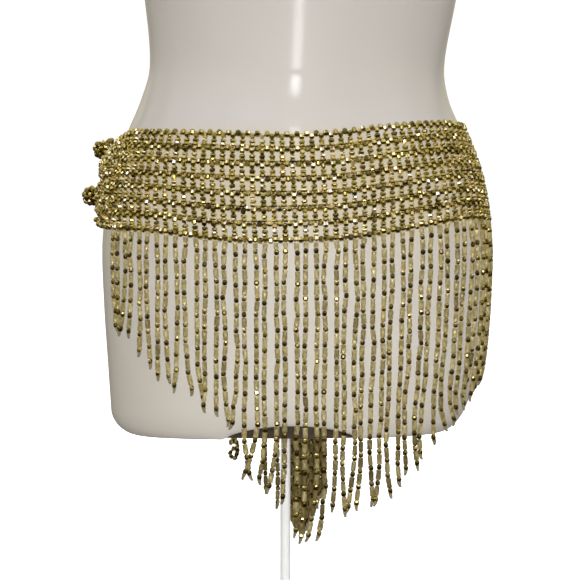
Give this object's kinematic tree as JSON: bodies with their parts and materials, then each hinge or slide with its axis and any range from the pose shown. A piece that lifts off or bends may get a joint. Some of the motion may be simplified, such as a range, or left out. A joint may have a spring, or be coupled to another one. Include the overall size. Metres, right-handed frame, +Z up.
{
  "type": "belly dance hip belt on a limbless torso form",
  "caption": "Wrap-around hip belt of square bead netting with a long V-shaped beaded fringe, closed by beaded balls in loops, on a torso form on a pole and disc.",
  "frame": {"origin": "on the stand disc's underside, straight below the belt's middle; the disc's own centre is 10.5 mm towards -X", "axes": "+Z up the pole, -Y towards the form's front, +X towards the form's left hip; the belt closes at -X"},
  "size_m": [0.3697, 0.2339, 0.612],
  "materials": {
    "form_white": "glossy off-white moulded plastic",
    "plate_dark": "dark stained board",
    "stand_white": "white enamel",
    "bead_gold": "faceted beads with a bright greenish-gold metal coating",
    "fringe_gold": "translucent pale gold bugle beads between faceted gold beads"
  },
  "bodies": {
    "root": {"torso_form": "form_white", "base_plate": "plate_dark", "stand_disc": "stand_white", "stand_pole": "stand_white", "net_band": "bead_gold", "fringe_front": "fringe_gold", "fringe_back": "fringe_gold", "tie_ball_upper": "bead_gold", "tie_ball_lower": "bead_gold", "tie_loop_upper": "bead_gold", "tie_loop_lower": "bead_gold"}
  },
  "joints": []
}
